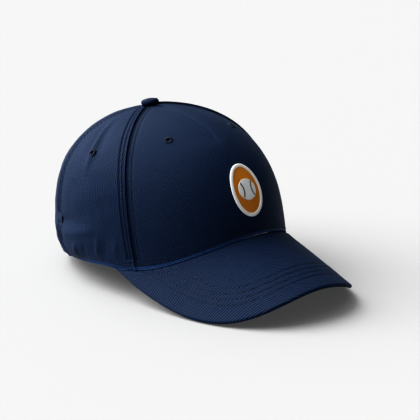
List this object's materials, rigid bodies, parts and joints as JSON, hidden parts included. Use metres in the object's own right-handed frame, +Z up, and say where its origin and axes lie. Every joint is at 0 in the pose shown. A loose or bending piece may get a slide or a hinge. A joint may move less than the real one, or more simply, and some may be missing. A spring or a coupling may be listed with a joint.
{
  "type": "baseball cap",
  "caption": "Baseball cap with a curved visor, stitched crown panels, a covered top button and a rear strap with a hinged clamp buckle.",
  "frame": {"origin": "centre of the overall footprint on the surface the cap rests on", "axes": "+Z up, visor towards -Y, the wearer's right towards -X"},
  "size_m": [0.1688, 0.2759, 0.1382],
  "materials": {
    "navy_twill": "matte cotton twill",
    "navy_tape": "woven tape",
    "navy_thread": "embroidery thread",
    "sweatband_fabric": "brushed cotton",
    "white_buckram": "stiffened mesh",
    "padding_foam": "open foam",
    "visor_plastic": "matte sheet",
    "badge_cloth": "embroidered patch",
    "dark_metal": "antique nickel"
  },
  "bodies": {
    "cap": {"front_panel": "navy_twill", "side_panel_right": "navy_twill", "side_panel_left": "navy_twill", "back_panel_right": "navy_twill", "back_panel_left": "navy_twill", "visor_top_cover": "navy_twill", "visor_bottom_cover": "navy_twill", "top_button_cover": "navy_twill", "adjusting_strap": "navy_twill", "buckle_keeper": "navy_twill", "front_seam_tape_right": "navy_tape", "front_seam_tape_left": "navy_tape", "rear_seam_tape_right": "navy_tape", "rear_seam_tape_left": "navy_tape", "back_seam_tape": "navy_tape", "dart_tape": "navy_tape", "arch_binding": "navy_tape", "eyelet_rings": "navy_thread", "sweatband": "sweatband_fabric", "sweatband_padding": "padding_foam", "front_stiffener": "white_buckram", "visor_board": "visor_plastic", "front_badge": "badge_cloth", "top_button_shell": "dark_metal", "button_washer": "dark_metal", "buckle_base": "dark_metal", "buckle_pin": "dark_metal"},
    "lever": {"buckle_lever": "dark_metal"}
  },
  "joints": [
    {"name": "buckle_lever_hinge", "type": "hinge", "parent": "cap", "child": "lever", "pos_m": [0.0107, 0.13225, 0.01199], "axis": [-0.0665, 0.2758, 0.9589], "range_deg": [0, 100]}
  ]
}
